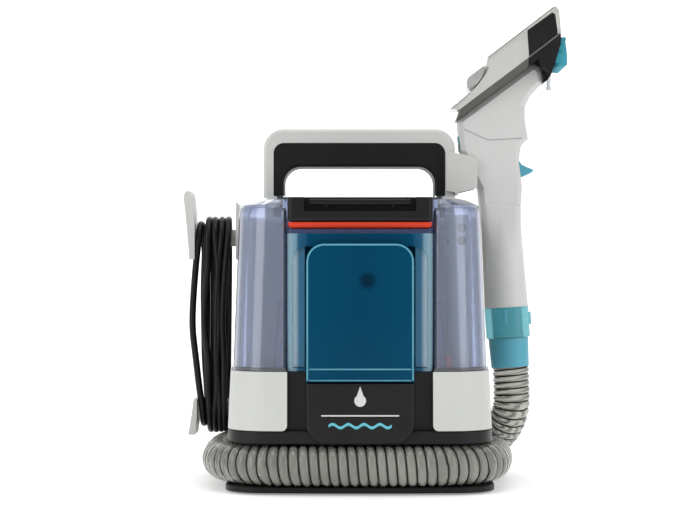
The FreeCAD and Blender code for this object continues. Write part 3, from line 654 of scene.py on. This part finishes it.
def tank_fins():
    outline = [(0.0689, 0.1132), (0.0765, 0.1132), (0.0732, 0.167), (0.0722, 0.1715), (0.0708, 0.1728),
               (0.0696, 0.1715), (0.0689, 0.168)]
    for side, name in ((-1, "tank_fin_left"), (1, "tank_fin_right")):
        fin = plate(name, [(side * x, z) for x, z in outline], FIN_FRONT, FIN_FRONT + 0.0035, RIB_SMOKE)
        line = [Vector((side * x, FIN_FRONT - 0.0002, z)) for x, z in outline[1:]]
        edge = tube_mesh(name + "_edge", line, 0.0006, 6, VIOLET)
        for piece in (fin, edge):
            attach(piece, "recovery_tank")


# Plain mark on the apron: a drop, a line and a ripple

DROP_R = 0.0052
DROP_Z = 0.0845
DROP_TIP_Z = 0.0975
DROP_STEPS = 24
RIPPLE_Z = 0.0635
RIPPLE_HEIGHT = 0.0016
RIPPLE_THICK = 0.0026


def apron_mark():
    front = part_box("front_apron")[0][1]
    drop = [(0.0, DROP_TIP_Z)]
    for k in range(DROP_STEPS + 1):
        turn = math.radians(145) - math.radians(290) * k / DROP_STEPS
        drop.append((-DROP_R * math.sin(turn), DROP_Z - DROP_R * math.cos(turn)))
    crest = [(x * MM, RIPPLE_Z + RIPPLE_HEIGHT * math.sin(x * 0.45)) for x in range(-28, 29)]
    ripple = crest + [(x, z - RIPPLE_THICK) for x, z in reversed(crest)]
    for name, outline, paint in (
        ("mark_drop", drop, PAINT_WHITE), ("mark_line", block(0.0345, 0.0707, 0.0719), PAINT_WHITE),
        ("mark_ripple", ripple, PAINT_TEAL),
    ):
        piece = plate(name, outline, front - 0.0002, front + 0.0004, paint)
        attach(piece, "root")


# Hand tool. In the nozzle's frame t runs along it, y across it and n up from its lower face, in mm.

TOOL_Y = 0.048             # middle plane of the hand tool
TOOL_FOOT = (0.1466, 0.106)
GRIP_LEAN = math.radians(3.73)
GRIP_WIDE_R = 0.0212       # the grip's round lower half narrows upwards from here
GRIP_NARROW_R = 0.0189
GRIP_ROUND_FROM = 0.058
GRIP_ROUND_LENGTH = 0.097
BLADE_HALF_X = 0.0194
BLADE_HALF_Y = 0.01903
BLADE_CUT = 0.0340         # x and y add up to this on the blade's drawn-in edges
FAIRING_FOOT = 0.2060
FAIRING_HEIGHT = 0.0575
HEAD_LEAN = math.radians(36.66)
HEAD_FRAME = Matrix.Translation(Vector((0.0952, TOOL_Y, 0.3443))) @ Matrix.Rotation(-HEAD_LEAN, 4, "Y")
NOZZLE_PLAN = [(-4, 20.5), (24, 25), (60, 30), (107, 38.5), (140, 44)]
LINE_STEPS = 8


def on_head(t, y, n):
    """A place given in the nozzle's frame."""
    return HEAD_FRAME @ (Vector((t, y, n)) * MM)


def half_width(t):
    """Half width of the nozzle at a distance along it."""
    for (a, wide_a), (b, wide_b) in zip(NOZZLE_PLAN, NOZZLE_PLAN[1:]):
        if t <= b:
            return wide_a + (wide_b - wide_a) * (t - a) / (b - a)
    return NOZZLE_PLAN[-1][1]


def head_line(name, start, end, radius, material, proud=0.0):
    """Thin lines on both sides of the nozzle between two (t, n) points."""
    for side, suffix in ((-1, "_front"), (1, "_back")):
        places = []
        for k in range(LINE_STEPS + 1):
            t = start[0] + (end[0] - start[0]) * k / LINE_STEPS
            n = start[1] + (end[1] - start[1]) * k / LINE_STEPS
            places.append(on_head(t, side * (half_width(t) + proud), n))
        line = tube_mesh(name + suffix, places, radius, 6, material)
        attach(line, "nozzle_head")


def latch_web():
    """The clear skirt that closes the gap under the nozzle's latch, and its dark curved edge."""
    skirt = [(26, 13.9), (29.3, 14.1), (34, 14.9), (46, 18.7), (52.2, 21.9), (52.4, 24.4), (51.4, 24.4),
             (46, 21.2), (34, 17.4), (29, 16.6), (26, 16.6)]
    shape = [(t * MM, n * MM) for t, n in skirt]
    edge = [on_head(t, -15.2, n) for t, n in ((30, 15.6), (37, 17.0), (44, 19.2), (50, 22.4))]
    pieces = [plate("latch_skirt", shape, -0.0150, 0.0150, LATCH_CLEAR, HEAD_FRAME),
              tube_mesh("latch_edge", edge, 0.0004, 6, BAND_GREY)]
    for piece in pieces:
        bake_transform(piece)


TUFT_ROWS = 5
TUFTS_IN_ROW = 18
TUFT_SIDES = 8
TUFT_FOOT_R = 0.0015
TUFT_TIP_R = 0.0019
BRUSH_HALF = 32.5


def tuft_ends():
    """The foot and the tip of each tuft, row by row up the brush block."""
    ends = []
    for row in range(TUFT_ROWS):
        share = row / (TUFT_ROWS - 1)
        t = 104.8 + 18.4 * share
        n = -13.2 + 16.4 * share
        reach = 9.0 - 4.6 * share
        for k in range(TUFTS_IN_ROW):
            y = -BRUSH_HALF + 2 * BRUSH_HALF * k / (TUFTS_IN_ROW - 1) + random.uniform(-0.5, 0.5)
            lean = random.uniform(-0.5, 0.5)
            ends.append((on_head(t, y, n), on_head(t + reach * 0.8 + lean, y, n - reach * 0.66)))
    return ends


def bristles():
    """Rows of tufts that follow the brush block's faces."""
    vertices = []
    faces = []
    for foot, tip in tuft_ends():
        base = len(vertices)
        along = (tip - foot).normalized()
        side = along.orthogonal().normalized()
        up = along.cross(side)
        vertices += ring_places(foot, side, up, TUFT_FOOT_R, TUFT_SIDES)
        vertices += ring_places(tip, side, up, TUFT_TIP_R, TUFT_SIDES)
        faces += wall_faces(2, TUFT_SIDES, base)
        faces.append(tuple(reversed(range(base, base + TUFT_SIDES))))
        faces.append(tuple(range(base + TUFT_SIDES, base + 2 * TUFT_SIDES)))
    tufts = mesh_object("brush_tufts", vertices, faces, BRISTLE)
    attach(tufts, "nozzle_head")


def grip_section(z, share, turn):
    """A place round the grip: its flat blade where share is 1, its round tube where share is 0."""
    foot_x, foot_z = TOOL_FOOT
    rise = z - foot_z
    narrowing = (GRIP_WIDE_R - GRIP_NARROW_R) * (rise - GRIP_ROUND_FROM) / GRIP_ROUND_LENGTH
    tube = GRIP_WIDE_R - narrowing
    along_x = max(abs(math.cos(turn)), 1e-6)
    along_y = max(abs(math.sin(turn)), 1e-6)
    blade = min(BLADE_HALF_X / along_x, BLADE_HALF_Y / along_y, BLADE_CUT / (along_x + along_y))
    out = tube + (blade - tube) * share - 0.0002 * (1 - share)
    middle = foot_x - rise * math.tan(GRIP_LEAN)
    return Vector((middle + out * math.cos(turn), TOOL_Y + out * math.sin(turn), z))


def grip_fairing():
    """The grip's flat faces running out smoothly into its round lower half."""
    levels = 15
    sides = 64
    vertices = []
    for k in range(levels):
        share = k / (levels - 1)
        z = FAIRING_FOOT + FAIRING_HEIGHT * share
        soft = share * share * (3 - 2 * share)
        vertices += [grip_section(z, soft, 2 * math.pi * s / sides) for s in range(sides)]
    faces = wall_faces(levels, sides)
    faces.append(tuple(reversed(range(sides))))
    faces.append(tuple(range((levels - 1) * sides, levels * sides)))
    fairing = mesh_object("grip_fairing", vertices, faces, TOOL_WHITE)
    for cap in fairing.data.polygons[-2:]:
        cap.use_smooth = False
    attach(fairing, "hand_tool")


def grip_trim():
    """The divider inside the clear collar and the teal slide on the grip's left edge."""
    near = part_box("tool_collar")[0][1]
    divider = [(0.1395, 0.1490), (0.1420, 0.1490), (0.1420, 0.1615), (0.1395, 0.1615)]
    pieces = [plate("collar_divider", divider, near - 0.0004, near + 0.0030, TEAL)]
    slide = [(0.0952, 0.3290), (0.0992, 0.3292), (0.1012, 0.3150), (0.0972, 0.3148)]
    pieces.append(plate("grip_slide", slide, TOOL_Y - 0.0080, TOOL_Y + 0.0080, TEAL))
    for piece in pieces:
        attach(piece, "hand_tool")


def tool_trim():
    """The nozzle's seam, the edges of its cover, and a grey line of painted shade along the crease
    across the grip.
    """
    head_line("nozzle_seam", (88.5, 7.2), (125.0, 7.5), 0.0007, SEAM_GREY)
    head_line("cover_edge", (57.6, 30.6), (134.2, 31.0), 0.0005, BAND_GREY, -0.3)
    head_line("cover_end", (0.4, 12.7), (23.8, 13.8), 0.0004, BAND_GREY, -0.2)
    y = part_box("tool_shell_front")[0][1]
    crease = [(100.5, 335.4), (124, 324.8), (157, 326.6)]
    places = [Vector((x * MM, y + 0.0019, z * MM)) for x, z in crease]
    # The crease's shade is painted as a thin grey line.
    line = tube_mesh("tool_crease_shade", places, 0.00028, 6, CREASE_SHADE_GREY)
    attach(line, "hand_tool")


tank_trim()
tank_fins()
apron_mark()
grip_fairing()
grip_trim()
tool_trim()
latch_web()
bristles()


# Floor, backdrop and lights

STAGE_HALF = 6.0
BEND_Y = 2.6
BEND_R = 1.2
BEND_STEPS = 12
WALL_TOP = 6.0


def make_stage():
    """A pale floor that curves up into a pale wall."""
    section = [(-4.0, 0.0), (BEND_Y, 0.0)]
    for k in range(1, BEND_STEPS + 1):
        turn = math.pi / 2 * k / BEND_STEPS
        section.append((BEND_Y + BEND_R * math.sin(turn), BEND_R - BEND_R * math.cos(turn)))
    section.append((BEND_Y + BEND_R, WALL_TOP))
    vertices = [(x, y, z - 0.0002) for y, z in section for x in (-STAGE_HALF, STAGE_HALF)]
    faces = [(2 * k, 2 * k + 1, 2 * k + 3, 2 * k + 2) for k in range(len(section) - 1)]
    material, tree, shader = new_material("pale_paper")
    add_mottle(tree, shader, (0.93, 0.93, 0.93), 0.005, 0.8, 0.05)
    shader.inputs["Emission Color"].default_value = (1, 1, 1, 1)
    shader.inputs["Emission Strength"].default_value = 0.3
    floor = mesh_object("backdrop", vertices, faces, material)


def make_light(name, place, target, size, size_y, power):
    data = bpy.data.lights.new(name, "AREA")
    data.shape = "RECTANGLE"
    data.size = size
    data.size_y = size_y
    data.energy = power
    lamp = bpy.data.objects.new(name, data)
    lamp.location = place
    lamp.rotation_euler = (Vector(target) - Vector(place)).to_track_quat("-Z", "Y").to_euler()
    bpy.context.collection.objects.link(lamp)


def make_lights():
    world = bpy.data.worlds.new("studio")
    world.use_nodes = True
    background = world.node_tree.nodes["Background"]
    background.inputs["Color"].default_value = (1, 1, 1, 1)
    background.inputs["Strength"].default_value = 0.55
    bpy.context.scene.world = world
    middle = (0, 0, 0.2)
    make_light("left_box", (-1.6, -1.1, 0.8), middle, 0.9, 1.7, 12)
    make_light("right_box", (1.7, -1.1, 0.8), middle, 0.9, 1.7, 10)
    make_light("top_box", (0, -0.2, 1.9), middle, 1.6, 1.2, 10)
    make_light("back_wash", (0, 2.9, 2.6), (0, 3.8, 0.8), 3.5, 1.0, 34)


make_stage()
make_lights()
bpy.context.scene.view_settings.view_transform = "Standard"
